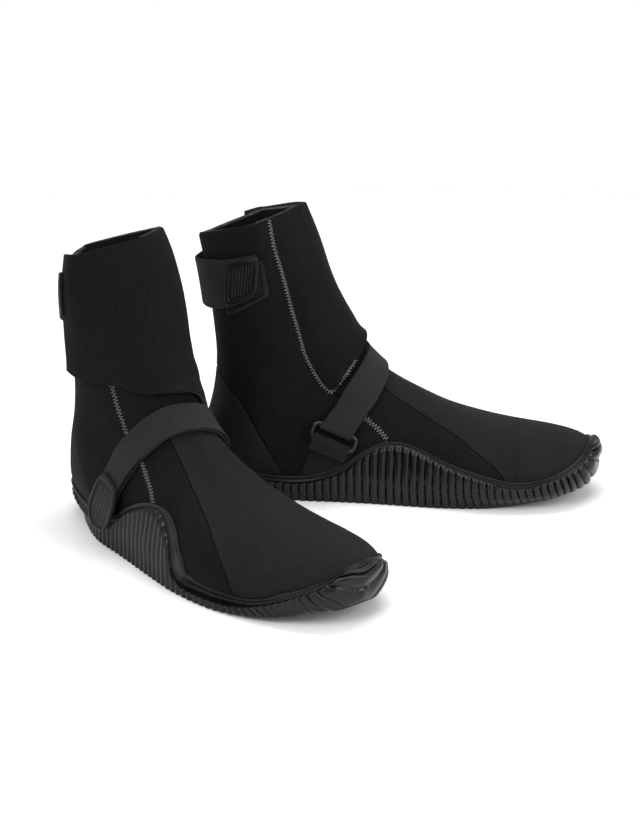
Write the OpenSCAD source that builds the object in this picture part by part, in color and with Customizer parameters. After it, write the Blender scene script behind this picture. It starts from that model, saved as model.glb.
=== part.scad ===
// A pair of neoprene water-sports boots. One boot is drawn as the left foot
// (x heel to toe, +y lateral, z up); the right boot is its mirror image.

/* [Materials] */
// Neoprene thickness of the boot shell
shell_t = 4; // [3:0.5:5]
// Thickness of the wide front flap
flap_t = 3.4; // [2.5:0.1:5]
// Thickness of the inner sock lining
lining_t = 0.8; // [0.5:0.1:1.2]
// Thickness of the removable footbed
footbed_t = 3; // [2:0.5:5]
// Thickness of strap webbing
webbing_t = 1.6; // [1:0.1:2.2]
// Thickness of hook pads and loop patch
hook_t = 1.1; // [0.8:0.1:1.5]
// Thickness of the moulded pull tabs
tab_t = 2.8; // [2:0.1:4]

/* [Sole] */
// Thickness of the rubber side wall
wall_t = 3.4; // [2:0.1:5]
// Height of the flat tread pad under the foot
tread_t = 3.4; // [2:0.1:3.8]
// Thickness of the smooth band above the side wall
band_t = 1.6; // [1:0.1:2.5]

/* [Ring] */
// Wire diameter of the strap ring
wire_d = 3.2; // [3:0.1:5]
// Inside width of the strap ring
ring_w = 30; // [28:1:40]
// Distance between the two long bars
ring_h = 11; // [9:0.5:16]

/* [Placement] */
// Heel of the left boot, along x
left_x = -99.01; // [-200:0.01:0]
// Heel of the left boot, along y
left_y = 103.61; // [0:0.01:150]
// Heel of the right boot, along x
right_x = -180.01; // [-300:0.01:0]
// Heel of the right boot, along y
right_y = 64.61; // [-100:0.01:150]
// Turn of the right boot
right_turn = -48.4; // [-70:0.1:0]

/* [Hidden] */

gap = 0.5;                       // clearance between stacked layers
lining_gap = 0.9;                // clearance between shell and lining
wall_gap = 0.9;                  // clearance between shell and rubber wall
thread_t = 0.35;                 // how far stitching stands up
bottom_turn = 138;               // where the side panels end under the foot
rim = 18;                        // station of the top edge
toe_blend = 2.2;                 // first station with a true inner surface
rim_lean = 4;                    // the rim is this much lower outside, higher inside

// Stations along the boot, tip of the toe to the rim:
// front x, z, back x, z, centre y, medial and lateral half width,
// widest point medial and lateral, roundness front and back
stations = [
    [291.5, 28, 291.5, 28, -12, 0, 0, .55, .55, 2, 2],
    [290, 34, 288, 22, -12, 7, 9, .55, .55, 2, 2],
    [286, 40, 282, 14, -12, 19, 20, .58, .58, 2, 2.2],
    [277, 44.5, 271, 9.5, -11, 33, 31, .6, .6, 2, 2.5],
    [260, 48, 254, 7.5, -9, 44, 40, .62, .62, 2, 3],
    [237, 50, 230, 6, -6, 51, 47, .63, .63, 2, 3.4],
    [211, 53.5, 201, 5.5, -3, 52, 51, .64, .64, 2, 3.5],
    [184, 62, 168, 5, -1, 47, 51, .64, .64, 2, 3.5],
    [161, 73, 134, 5, 0, 42, 47, .65, .65, 2, 3.5],
    [141, 85, 98, 5, 0, 38, 43, .66, .66, 2, 3.3],
    [125, 97, 58, 5, 0, 36, 40, .67, .67, 2.1, 3],
    [115, 110, 20, 7, 0, 36, 38, .67, .67, 2.2, 2.4],
    [108.5, 123, -1.5, 18, 0, 37, 37, .6, .6, 2.2, 2.2],
    [101.5, 136.5, -3, 42, 0, 37, 36.5, .55, .55, 2.1, 2.1],
    [94.5, 150.5, 4, 70, 0, 37, 37, .5, .5, 2, 2],
    [88, 167, 7.5, 99, 0, 38, 37.5, .48, .48, 1.95, 2],
    [82, 185, 5.5, 132, 0, 39, 38, .46, .48, 1.8, 1.9],
    [76, 202, 1, 165, 0, 39, 36.5, .44, .48, 1.55, 1.6],
    [70.5, 216.5, -4, 194, 0, 36.5, 34.5, .4, .42, 1.3, 1.32]];

// Seam lines as [station, angle] pairs; angle 0 is the front or top, 180 the back
vamp_edge = [[0, 138], [5.1, 138], [5.3, 102], [5.6, 78], [6.2, 58], [7, 42], [8, 34.5],
    [9, 30], [9.9, 27]];
quarter_edge = [[8, 137], [8.08, 100], [8.25, 78], [8.6, 68], [9.3, 59], [10.4, 53],
    [11.2, 54], [12.4, 57], [13.9, 62], [15.6, 66], [17, 66], [18, 64]];
heel_edge = [[10.1, 130], [10.2, 122], [10.3, 115.5], [10.5, 106], [10.7, 99.5], [11, 94],
    [11.4, 92], [11.9, 94], [12.4, 98], [12.9, 105], [13.4, 114.5], [13.8, 125.5], [14.2, 137],
    [14.5, 148], [14.8, 164.5], [18, 170]];
heel_rows = [10.1, 10.2, 10.3, 10.5, 10.7, 11, 11.4, 11.9, 12.4, 12.9, 13.4, 13.8, 14.2, 14.5,
    14.78];
// Lower edge of the flap by angle: [angle, station]
flap_foot = [[-54, 10.75], [-27, 10.9], [-5, 11.2], [28, 11.85], [59, 13.2], [99, 14.5],
    [112, 14.9]];
flap_end = 112;
// Instep strap edges by angle: [angle, front station, rear station]
strap_run = [[-74, 9.25, 10.42], [-50, 9.3, 10.56], [-27, 9.3, 10.62], [0, 9.46, 10.8],
    [15, 9.62, 11], [32, 9.75, 11.08], [51, 9.77, 11], [76, 9.74, 10.6], [100, 9.66, 10.32]];

// Side wall columns, toe to heel: [bottom u, turn, lower u, turn, upper u, turn, top u, turn,
// band u, turn, how upright the wall stands (0 to 1)]
medial_cols = [
    [2.3, 180, 1.15, 180, 1.05, 0, 1.85, 0, 2.25, 0, 0],
    [2.5, 152, 1.6, 150, 1.5, 42, 2.15, 27, 2.5, 22, 0],
    [2.9, 141, 2.4, 125, 2.4, 84, 2.6, 55, 2.82, 44, 0],
    [3.5, 138, 3.3, 118, 3.25, 97, 3.25, 76, 3.38, 64, 0],
    [4.3, 137, 4.2, 120, 4.2, 105, 4.2, 88, 4.2, 81, 0],
    [5.2, 137, 5.2, 122, 5.2, 108, 5.15, 93, 5.15, 87, 0.1],
    [6.1, 137, 6.1, 121, 6.05, 105, 6, 87, 6, 81, 0.45],
    [6.9, 137, 6.9, 120, 6.9, 100, 6.85, 80, 6.85, 75.5, 0.85],
    [7.6, 137, 7.6, 119, 7.6, 95, 7.55, 73, 7.55, 69.5, 1],
    [8.2, 137, 8.2, 119, 8.2, 95, 8.2, 71.5, 8.22, 68, 1],
    [8.8, 137, 8.8, 121, 8.8, 101, 8.75, 80, 8.8, 75.5, 1],
    [9.35, 138, 9.35, 129, 9.35, 117, 9.3, 104, 9.4, 98, 1],
    [9.8, 140, 9.8, 134, 9.8, 127, 9.8, 120, 9.88, 113, 0.9],
    [10.3, 141, 10.32, 136, 10.32, 131, 10.35, 126, 10.48, 119, 0.5],
    [10.75, 142, 10.8, 137, 10.87, 132, 10.95, 127, 11.08, 120, 0.2],
    [11.1, 151, 11.22, 146, 11.35, 141, 11.48, 136, 11.64, 129, 0],
    [11.35, 166, 11.52, 163, 11.7, 160, 11.88, 157, 12.06, 154, 0],
    [11.45, 180, 11.7, 180, 11.95, 180, 12.2, 180, 12.38, 180, 0]];
lateral_cols = [
    [2.3, 180, 1.15, 180, 1.05, 0, 1.85, 0, 2.25, 0, 0],
    [2.5, 152, 1.6, 150, 1.5, 42, 2.05, 30, 2.3, 26, 0],
    [2.9, 141, 2.4, 125, 2.35, 88, 2.4, 62, 2.55, 53, 0],
    [3.5, 138, 3.3, 120, 3.2, 102, 3.1, 84, 3.15, 74, 0.35],
    [4.3, 137, 4.2, 127, 4.2, 116, 4.15, 104, 4.2, 94, 0.85],
    [5.15, 158, 5.15, 147, 5.15, 137, 5.15, 127, 5.15, 113, 1],
    [5.9, 160, 5.9, 151, 5.9, 142, 5.9, 133, 5.9, 113, 1],
    [6.55, 160, 6.55, 151, 6.55, 142, 6.55, 133, 6.4, 111, 1],
    [7, 154, 7, 145, 7, 134, 6.96, 122, 6.76, 92, 1],
    [7.35, 141, 7.35, 128, 7.35, 108, 7.34, 86, 7.08, 78, 1],
    [7.75, 138, 7.75, 121, 7.75, 98, 7.72, 74, 7.5, 66.5, 1],
    [8.25, 137, 8.25, 118, 8.25, 93, 8.2, 67.5, 8.13, 62.5, 1],
    [8.8, 137, 8.8, 120, 8.8, 98, 8.78, 74.5, 8.82, 71, 1],
    [9.35, 138, 9.35, 126, 9.35, 110, 9.35, 92, 9.4, 87, 1],
    [9.9, 140, 9.9, 134, 9.9, 127, 9.9, 120, 9.98, 114, 0.9],
    [10.6, 143, 10.65, 138, 10.7, 133, 10.75, 128, 10.88, 121, 0.3],
    [11.2, 156, 11.35, 152, 11.52, 148, 11.68, 143, 11.85, 137, 0],
    [11.45, 180, 11.7, 180, 11.95, 180, 12.2, 180, 12.38, 180, 0]];

// Height of the sole's underside along the boot
rocker = [[-20, 0.9], [214, 0.9], [228, 2], [242, 3.6], [256, 5.6], [269, 8.2], [281, 12],
    [290, 16.5], [300, 22]];

function mix(a, b, f) = a + (b - a) * f;
function clamp(v, a, b) = max(a, min(b, v));
// Column c of a table at the key k in column 0
function at(table, k, c) = lookup(k, [for (row = table) [row[0], row[c]]]);
function curve(p, f) = 0.5 * (2 * p[1] + (p[2] - p[0]) * f
    + (2 * p[0] - 5 * p[1] + 4 * p[2] - p[3]) * f * f
    + (3 * p[1] - p[0] - 3 * p[2] + p[3]) * f * f * f);
function station(u) = let (last = len(stations) - 1, v = clamp(u, 0, last),
    i = min(floor(v), last - 1), a = stations[i], b = stations[i + 1])
    curve([i > 0 ? stations[i - 1] : 2 * a - b, a, b,
        i < last - 1 ? stations[i + 2] : 2 * b - a], v - i);
// Point on the outer surface of the boot shell
function skin(u, turn) = let (q = station(u), t = (turn + 540) % 360 - 180,
    half = t < 0 ? q[5] : q[6], s0 = t < 0 ? q[7] : q[8], c = cos(t),
    n = c > 0 ? q[9] : q[10], reach = pow(abs(c), 2 / n),
    s = c > 0 ? s0 * (1 - reach) : s0 + (1 - s0) * reach,
    w = half * pow(abs(sin(t)), 2 / n))
    [mix(q[0], q[2], s), q[4] + (t < 0 ? -w : w),
        mix(q[1], q[3], s) - rim_lean * pow(clamp((u - 15) / 3, 0, 1), 2) * sin(t)];
function unit(v) = v / max(norm(v), 1e-9);
function outward(u, turn) = let (e = 0.02)
    unit(cross(skin(u, turn + 1) - skin(u, turn - 1), skin(u + e, turn) - skin(u - e, turn)));
// Point standing "off" outside (or inside when negative) of the shell surface
function lift(u, turn, off) = off == 0 ? skin(u, turn)
    : u >= toe_blend || off > 0 ? skin(u, turn) + off * outward(u, turn)
    : mix(toe_core(off), lift(toe_blend, turn, off), u / toe_blend);
function toe_core(off) = (lift(toe_blend, 0, off) + lift(toe_blend, 180, off)) / 2 + [1.5, 0, 0];
function steps(a, b, n) = [for (i = [0:n]) mix(a, b, i / n)];

// Solid between two grids of points; cells may be left out with keep, and a closed slab
// is a ring whose last column is its first again
module slab(outer, inner, keep, closed = false) {
    nr = len(outer);
    nc = len(outer[0]);
    n = nr * nc;
    pts = concat([for (r = outer, p = r) p], [for (r = inner, p = r) p]);
    function has(i, j) = i >= 0 && j >= 0 && i < nr - 1 && j < nc - 1
        && (is_undef(keep) || keep[i][j]);
    quads = [for (i = [0:nr - 2], j = [0:nc - 2]) if (has(i, j))
        let (a = i * nc + j, b = a + 1, c = a + nc + 1, d = a + nc)
        each concat([[a, b, c, d], [d + n, c + n, b + n, a + n]],
            has(i - 1, j) ? [] : [[b, a, a + n, b + n]],
            has(i + 1, j) ? [] : [[d, c, c + n, d + n]],
            has(i, j - 1) || closed ? [] : [[a, d, d + n, a + n]],
            has(i, j + 1) || closed ? [] : [[c, b, b + n, c + n]])];
    polyhedron(pts, solid_faces(pts, quads));
}

// Quads cut into triangles, those without area left out
function solid_faces(pts, quads) = [for (q = quads, t = [[q[0], q[1], q[2]], [q[0], q[2], q[3]]])
    if (norm(pts[t[0]] - pts[t[1]]) > 1e-4 && norm(pts[t[1]] - pts[t[2]]) > 1e-4
        && norm(pts[t[2]] - pts[t[0]]) > 1e-4) t];

// Panel of the boot from a grid of [station, angle] between two heights
module panel(grid, low, high, keep) {
    slab([for (r = grid) [for (g = r) lift(g[0], g[1], high)]],
        [for (r = grid) [for (g = r) lift(g[0], g[1], low)]], keep);
}

module rubber() { color([0.13, 0.135, 0.14]) children(); }
module neoprene() { color([0.07, 0.07, 0.08]) children(); }
module textured() { color([0.16, 0.16, 0.17]) children(); }
module webbing() { color([0.2, 0.2, 0.21]) children(); }
module thread() { color([0.55, 0.55, 0.56]) children(); }

function between(cols, j) = let (i = min(floor(j), len(cols) - 2))
    mix(cols[i], cols[i + 1], j - i);
function column(stop) = between(stop[1] > 0 ? lateral_cols : medial_cols, stop[0]);
// Station where both sides' columns meet under the middle of the foot
function middle_u(j) = (between(medial_cols, j)[0] + between(lateral_cols, j)[0]) / 2;
function drop(p, z) = [p[0], p[1], z];
function sole_z(p) = lookup(p[0], rocker);
// Outer point of the wall; below the boot's widest line it stands upright
function wall_point(u, turn, side, k, off) = let (p = lift(u, side * turn, off))
    abs(turn) < 96 || k == 0 ? p : [p[0], mix(p[1], lift(u, side * 96, off)[1], k), p[2]];
// One ring column of the outsole, from the middle of the tread round to the inside middle
function sole_column(stop) = let (c = column(stop), side = stop[1], off = wall_t + gap,
    foot = wall_point(c[0], c[1], side, c[10], off), m = middle_u(stop[0]),
    mid = skin(m, 180))
    [drop(mid, sole_z(mid)), drop(foot, sole_z(foot)),
    wall_point(c[2], c[3], side, c[10], off), wall_point(c[4], c[5], side, c[10], off),
    wall_point(c[6], c[7], side, c[10], wall_t - 0.6),
    lift(c[6], side * c[7], wall_gap), lift(c[4], side * c[5], wall_gap),
    lift(c[2], side * c[3], wall_gap), lift(c[0], side * c[1], wall_gap),
    lift((c[0] + m) / 2, side * (c[1] + 180) / 2, gap), lift(m, 180, gap)];
// Ring positions: down one side of the boot and back up the other
ring_stops = let (n = len(medial_cols) - 1) concat([for (j = [0:0.5:n]) [j, 1]],
    [for (j = [n - 0.5:-0.5:0]) [j, -1]]);

module outsole() rubber() union() {
    nc = len(ring_stops) - 1;
    cols = [for (k = [0:nc - 1]) sole_column(ring_stops[k])];
    nr = len(cols[0]);
    pts = [for (c = cols, p = c) p];
    quads = [for (k = [0:nc - 1], r = [0:nr - 2]) let (a = k * nr + r,
        b = (k + 1) % nc * nr + r) [a, a + 1, b + 1, b]];
    polyhedron(pts, solid_faces(pts, quads));
    linear_extrude(tread_t) polygon([[11, 0], [15, 11], [30, 24], [60, 29], [100, 33], [135, 36],
        [170, 38], [200, 36], [211, 34], [211, -43], [200, -42], [170, -37.5], [135, -33],
        [100, -29.5], [60, -27], [30, -23], [15, -11]]);
}

// The band's edge: f 0 is its lower edge just above the side wall, 1 its upper edge
function band_point(stop, f, off) = let (c = column(stop), g = mix(0.22, 1, f))
    lift(mix(c[6], c[8], g), stop[1] * mix(c[7], c[9], g), off);
module foxing_band() rubber() slab(
    [for (f = [0, 1]) [for (s = ring_stops) band_point(s, f, gap + band_t)]],
    [for (f = [0, 1]) [for (s = ring_stops) band_point(s, f, gap)]], undef, true);

module underfoot_panel() neoprene() panel([for (u = steps(2.4, 10.02, 12))
    [for (t = [139, 150, 162, 172, 180, 188, 198, 210, 221]) [u, t]]], -shell_t, 0);

module footbed() color([0.1, 0.1, 0.12]) let (top = -shell_t - lining_t - lining_gap - gap)
    panel([for (u = steps(2.8, 11.1, 12)) [for (t = [140, 152, 166, 180, 194, 208, 220])
    [u, t]]], top - footbed_t, top);

module lining_sock() color([0.09, 0.09, 0.1]) panel([for (u = concat([0], steps(2.2, 18, 18)))
    [for (t = concat([-179.8], steps(-167, 167, 26), [179.8])) [u, t]]],
    -shell_t - lining_gap - lining_t, -shell_t - lining_gap);

module vamp_panel() textured() panel([for (u = [0, 0.5, 1, 1.6, 2.2, 3, 4, 5, 5.28, 5.6, 6.2, 7,
    8, 9, 9.86]) let (e = at(vamp_edge, u, 1) - 0.4)
    [for (t = steps(-e, e, 18)) [u, t]]], -shell_t, 0);

module side_panel(side) neoprene() panel([for (u = [5.3, 5.45, 5.75, 6.3, 7, 7.6, 7.98, 8.1,
    8.3, 8.6, 9.3, 9.86]) let (a = at(vamp_edge, u, 1) + 0.5,
    b = min(137.4, at(quarter_edge, u, 1) - 0.5))
    [for (t = side > 0 ? steps(a, b, 6) : steps(-b, -a, 6)) [u, t]]], -shell_t, 0);

// The back of the boot; the heel panel sits in its cut-out
module rear_quarter() neoprene() {
    us = concat([8.06, 8.12, 8.3, 8.6, 9.3, 10.05], heel_rows, [14.9, 15.6, 16.4, 17.2, 18]);
    half = 5;
    grid = [for (u = us) let (q = at(quarter_edge, u, 1) + 0.5,
        h = u < 10.1 ? 137.4 : at(heel_edge, u, 1) - 0.8)
        [for (t = concat(steps(q, h, half), steps(360 - h, 360 - q, half))) [u, t]]];
    panel(grid, -shell_t, 0, [for (i = [0:len(us) - 2])
        [for (j = [0:2 * half]) j != half || us[i] > 14.8]]);
}

module heel_panel() textured() panel([for (u = heel_rows) let (h = at(heel_edge, u, 1) + 0.6)
    [for (t = steps(h, 360 - h, 12)) [u, t]]], -shell_t, 0);

module front_gusset() neoprene() panel([for (u = steps(9.94, 18, 11))
    let (q = at(quarter_edge, u, 1) - 0.5) [for (t = steps(-q, q, 10)) [u, t]]], -shell_t, 0);

// The flap's free end stands a little further off the boot than the rest
flap_rise = 1.4;
function flap_height(u, t) = gap + thread_t
    + flap_rise * clamp((t - 66) / 24, 0, 1) * clamp((u - 14) / 2, 0, 1);
module front_flap() neoprene() {
    n = 16;
    grid = [for (r = [0:8]) [for (c = [0:n]) let (t0 = mix(-54, flap_end, c / n),
        u = mix(at(flap_foot, t0, 1), rim, r / 8), q = at(quarter_edge, u, 1) + 1)
        [u, mix(-q, flap_end, c / n)]]];
    slab([for (r = grid) [for (g = r) lift(g[0], g[1], flap_height(g[0], g[1]) + flap_t)]],
        [for (r = grid) [for (g = r) lift(g[0], g[1], flap_height(g[0], g[1]))]]);
}

// A raised strip of stitching along a line of [station, angle]
module stitch_line(line, half, low) thread() panel([for (p = line) [for (s = [-half, half])
    [p[0], p[1] + s]]], low, low + thread_t);

module flap_seam_stitching() {
    us = steps(10.85, 17.9, 10);
    thread() panel([for (u = us) [for (s = [2.4, 8]) [u, s - at(quarter_edge, u, 1)]]],
        gap + thread_t + flap_t + 0.05, gap + 2 * thread_t + flap_t + 0.05);
}

module quarter_seam_stitching() thread() for (side = [-1, 1])
    let (us = side > 0 ? concat([8.9], steps(9.3, 13, 6)) : [8.9, 9.3, 9.9, 10.4, 10.65])
    panel([for (u = us) [for (s = [-3, 3]) [u, side * at(quarter_edge, u, 1) + s]]],
        0.05, 0.05 + thread_t);

// Calf strap, round the back from the flap's free end to the medial side
calf_edges = [[112, 16.2, 17.42], [180, 16.3, 17.42], [240, 16.1, 17.2], [268, 16.05, 17.1]];
calf_low = gap + hook_t + gap + hook_t + gap;
function calf_height(t) = calf_low + (1.4 + flap_rise) * clamp((136 - t) / 24, 0, 1)
    + 1.2 * max(0, sin((t - 140) * 2.25));
function calf_point(t, f, off) = lift(mix(at(calf_edges, t, 1), at(calf_edges, t, 2), f), t, off);
module calf_strap() webbing() {
    turns = concat([108, 112, 118], steps(126, 266, 14));
    rows = [0, 0.33, 0.67, 1];
    slab([for (f = rows) [for (t = turns) calf_point(t, f, calf_height(t) + webbing_t)]],
        [for (f = rows) [for (t = turns) calf_point(t, f, calf_height(t))]]);
}
module calf_patch(a, b, low, thick, grow) panel([for (f = steps(-grow, 1 + grow, 4))
    [for (t = steps(a, b, 5)) [mix(at(calf_edges, t, 1), at(calf_edges, t, 2), f), t]]],
    low, low + thick);
module calf_strap_tab() color([0.15, 0.16, 0.155]) calf_patch(234, 271, calf_low + webbing_t
    + gap, tab_t, -0.06);
module calf_hook_pad() webbing() calf_patch(238, 262, gap + hook_t + gap, hook_t, -0.14);
module calf_loop_patch() webbing() calf_patch(226, 276, gap, hook_t, 0);

// Instep strap: lower layer, folded-back layer, hook pad and tab
base_low = 0.05 + thread_t + gap;
tail_low = base_low + webbing_t + gap;
end_low = tail_low + hook_t + gap;
// The strap narrows toward the ring
function strap_f(t, f) = 0.5 + (f - 0.5) * (1 - 0.14 * clamp((-45 - t) / 15, 0, 1));
function strap_point(t, f, off) = lift(mix(at(strap_run, t, 1), at(strap_run, t, 2),
    strap_f(t, f)), t, off);
module strap_piece(turns, low, high, rows, trim) slab(
    [for (f = steps(trim, 1 - trim, rows)) [for (t = turns) strap_point(t, f, high)]],
    [for (f = steps(trim, 1 - trim, rows)) [for (t = turns) strap_point(t, f, low)]]);

fold_end = -51.5;
function fold_height(t) = tail_low + max(0, min(0.4, (-56 - t) / 8));
// The ring's upper bar, and the ring's own axes: along the bars, down, and outward
bar_a = strap_point(-73, 0.08, 3.4 + wire_d / 2);
bar_b = strap_point(-70.5, 1.08, 3.4 + wire_d / 2);
bar_dir = unit(bar_b - bar_a);
bar_out = unit(outward(9.85, -76) - (outward(9.85, -76) * bar_dir) * bar_dir);
bar_down = cross(bar_out, bar_dir);
bar_mid = (bar_a + bar_b) / 2;
// Points of the fold round the ring's upper bar; angle 0 is outward, 180 inward
function fold_point(f, turn, r) = mix(bar_a, bar_b, f) + r * (cos(turn) * bar_out
    + sin(turn) * bar_down);

// Lower layer, the fold round the ring and the start of the folded-back layer
module instep_strap_base() textured() {
    under = steps(98, -60, 16);
    fold = [165, 130, 95, 60, 30, 5];
    over = [-59, -55, fold_end];
    rows = steps(0.03, 0.97, 4);
    r = wire_d / 2 + 0.3;
    slab([for (f = rows) concat([for (t = under) strap_point(t, f, base_low)],
            [for (a = fold) fold_point(f, a, r + webbing_t)],
            [for (t = over) strap_point(t, f, fold_height(t) + webbing_t)])],
        [for (f = rows) concat([for (t = under) strap_point(t, f, base_low + webbing_t)],
            [for (a = fold) fold_point(f, a, r)],
            [for (t = over) strap_point(t, f, fold_height(t))])]);
}

function tail_height(t) = t > 60 ? end_low : t > 50 ? mix(tail_low, end_low, (t - 50) / 10)
    : tail_low;
module instep_strap_tail() textured() {
    turns = concat(steps(fold_end + 2, 50, 10), [58, 64], steps(70, 94, 3));
    rows = steps(0.03, 0.97, 4);
    slab([for (f = rows) [for (t = turns) strap_point(t, f, tail_height(t) + webbing_t)]],
        [for (f = rows) [for (t = turns) strap_point(t, f, tail_height(t))]]);
}
module instep_hook_pad() webbing() strap_piece(steps(64, 92, 4), tail_low, tail_low + hook_t,
    3, 0.08);
// The tab's lower end stands off a little, clear of the rubber wall
function tab_point(f, g, off) = lift(mix(9.6, 10.62, f) - 0.25 * g + 0.1,
    mix(76, 118, g) - 8 * f, off + 2 * g * g);
module instep_strap_tab() color([0.15, 0.16, 0.155]) {
    low = end_low + webbing_t + gap;
    slab([for (f = steps(0, 1, 5)) [for (g = steps(0, 1, 5)) tab_point(f, g, low + tab_t)]],
        [for (f = steps(0, 1, 5)) [for (g = steps(0, 1, 5)) tab_point(f, g, low)]]);
}

// Rigid placement on the ring's own axes
module on_ring() multmatrix([for (i = [0:2]) [bar_dir[i], bar_down[i], bar_out[i], bar_mid[i]]])
    children();
module strap_ring() color([0.08, 0.08, 0.09]) on_ring() {
    r = 3.5;
    x = ring_w / 2 + wire_d / 2;
    for (s = [-1, 1]) {
        translate([s * x, r, 0]) rotate([-90, 0, 0])
            cylinder(h = ring_h - 2 * r, d = wire_d, $fn = 48);
        translate([-(x - r), s > 0 ? ring_h : 0, 0]) rotate([0, 90, 0])
            cylinder(h = 2 * (x - r), d = wire_d, $fn = 48);
        for (e = [0, 1]) translate([s * (x - r), e ? ring_h - r : r, 0])
            rotate([0, 0, s > 0 ? (e ? 0 : -90) : (e ? 90 : 180)])
            rotate_extrude(angle = 90, $fn = 48) translate([r, 0]) circle(d = wire_d, $fn = 48);
    }
}

// Keeper: webbing looped round the ring's lower bar and down to the sole
module ring_keeper() webbing() {
    r = wire_d / 2 + 0.3;
    w = ring_w - 2;
    foot = 7;
    on_ring() translate([0, ring_h, 0]) rotate([0, -90, 0])
        linear_extrude(w, center = true) difference() {
            union() {
                circle(r + webbing_t, $fn = 48);
                translate([-r - webbing_t, 0]) square([2 * (r + webbing_t) - 1.2, foot]);
            }
            circle(r, $fn = 48);
            translate([-r, 0]) square([2 * r - 1.2, foot - webbing_t]);
        }
}

// Patch under the keeper; its lower edge follows the band
patch_edge = [[9.42, 95, 82], [9.55, 100, 82], [9.75, 106, 82], [9.95, 111.5, 82.5],
    [10.15, 114, 84], [10.32, 116, 87]];
module keeper_anchor_patch() textured() panel([for (e = patch_edge)
    [for (t = steps(-e[1], -e[2], 4)) [e[0], t]]], gap, gap + 1.2);

// The two boots: the left as drawn, the right mirrored and turned toward the viewer
module left() { translate([left_x, left_y, 0]) children(); }
module right() {
    translate([right_x, right_y, 0]) rotate([0, 0, right_turn]) mirror([0, 1, 0]) children();
}

left() outsole();  // left_outsole
left() foxing_band();  // left_foxing_band
left() underfoot_panel();  // left_underfoot_panel
left() footbed();  // left_footbed
left() lining_sock();  // left_lining_sock
left() vamp_panel();  // left_vamp_panel
left() side_panel(-1);  // left_medial_side_panel
left() side_panel(1);  // left_lateral_side_panel
left() rear_quarter();  // left_rear_quarter
left() heel_panel();  // left_heel_panel
left() front_gusset();  // left_front_gusset
left() front_flap();  // left_front_flap
left() flap_seam_stitching();  // left_flap_seam_stitching
left() quarter_seam_stitching();  // left_quarter_seam_stitching
left() calf_strap();  // left_calf_strap
left() calf_strap_tab();  // left_calf_strap_tab
left() calf_hook_pad();  // left_calf_hook_pad
left() calf_loop_patch();  // left_calf_loop_patch
left() instep_strap_base();  // left_instep_strap_base
left() instep_strap_tail();  // left_instep_strap_tail
left() instep_strap_tab();  // left_instep_strap_tab
left() instep_hook_pad();  // left_instep_hook_pad
left() strap_ring();  // left_strap_ring
left() ring_keeper();  // left_ring_keeper
left() keeper_anchor_patch();  // left_keeper_anchor_patch
right() outsole();  // right_outsole
right() foxing_band();  // right_foxing_band
right() underfoot_panel();  // right_underfoot_panel
right() footbed();  // right_footbed
right() lining_sock();  // right_lining_sock
right() vamp_panel();  // right_vamp_panel
right() side_panel(-1);  // right_medial_side_panel
right() side_panel(1);  // right_lateral_side_panel
right() rear_quarter();  // right_rear_quarter
right() heel_panel();  // right_heel_panel
right() front_gusset();  // right_front_gusset
right() front_flap();  // right_front_flap
right() flap_seam_stitching();  // right_flap_seam_stitching
right() quarter_seam_stitching();  // right_quarter_seam_stitching
right() calf_strap();  // right_calf_strap
right() calf_strap_tab();  // right_calf_strap_tab
right() calf_hook_pad();  // right_calf_hook_pad
right() calf_loop_patch();  // right_calf_loop_patch
right() instep_strap_base();  // right_instep_strap_base
right() instep_strap_tail();  // right_instep_strap_tail
right() instep_strap_tab();  // right_instep_strap_tab
right() instep_hook_pad();  // right_instep_hook_pad
right() strap_ring();  // right_strap_ring
right() ring_keeper();  // right_ring_keeper
right() keeper_anchor_patch();  // right_keeper_anchor_patch
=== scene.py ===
import math
import bmesh
import bpy
import numpy as np
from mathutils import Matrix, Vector

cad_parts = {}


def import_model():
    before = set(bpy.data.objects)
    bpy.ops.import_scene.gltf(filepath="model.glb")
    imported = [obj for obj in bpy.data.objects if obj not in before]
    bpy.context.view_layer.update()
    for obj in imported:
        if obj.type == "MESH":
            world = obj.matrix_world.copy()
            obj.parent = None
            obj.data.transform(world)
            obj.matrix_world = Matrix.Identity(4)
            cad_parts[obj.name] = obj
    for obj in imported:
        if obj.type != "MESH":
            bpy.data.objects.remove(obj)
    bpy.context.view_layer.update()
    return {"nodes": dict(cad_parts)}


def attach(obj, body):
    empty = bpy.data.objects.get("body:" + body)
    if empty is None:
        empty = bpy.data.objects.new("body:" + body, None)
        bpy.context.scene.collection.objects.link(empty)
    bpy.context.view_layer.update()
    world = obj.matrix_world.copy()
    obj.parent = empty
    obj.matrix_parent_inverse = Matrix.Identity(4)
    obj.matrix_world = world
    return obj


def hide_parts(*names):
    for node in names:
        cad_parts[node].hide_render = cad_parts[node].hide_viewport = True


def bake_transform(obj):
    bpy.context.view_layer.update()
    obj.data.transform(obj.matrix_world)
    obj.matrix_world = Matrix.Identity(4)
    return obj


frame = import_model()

# ---------- shape of one boot, in mm
# The left boot: x heel to toe, +y lateral, z up. The right boot is its mirror image.
# side: (x, y, turn, sign of y)
PLACE = {"left": (-99.01, 103.61, .0, 1), "right": (-180.01, 64.61, math.radians(-48.4), -1)}

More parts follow.
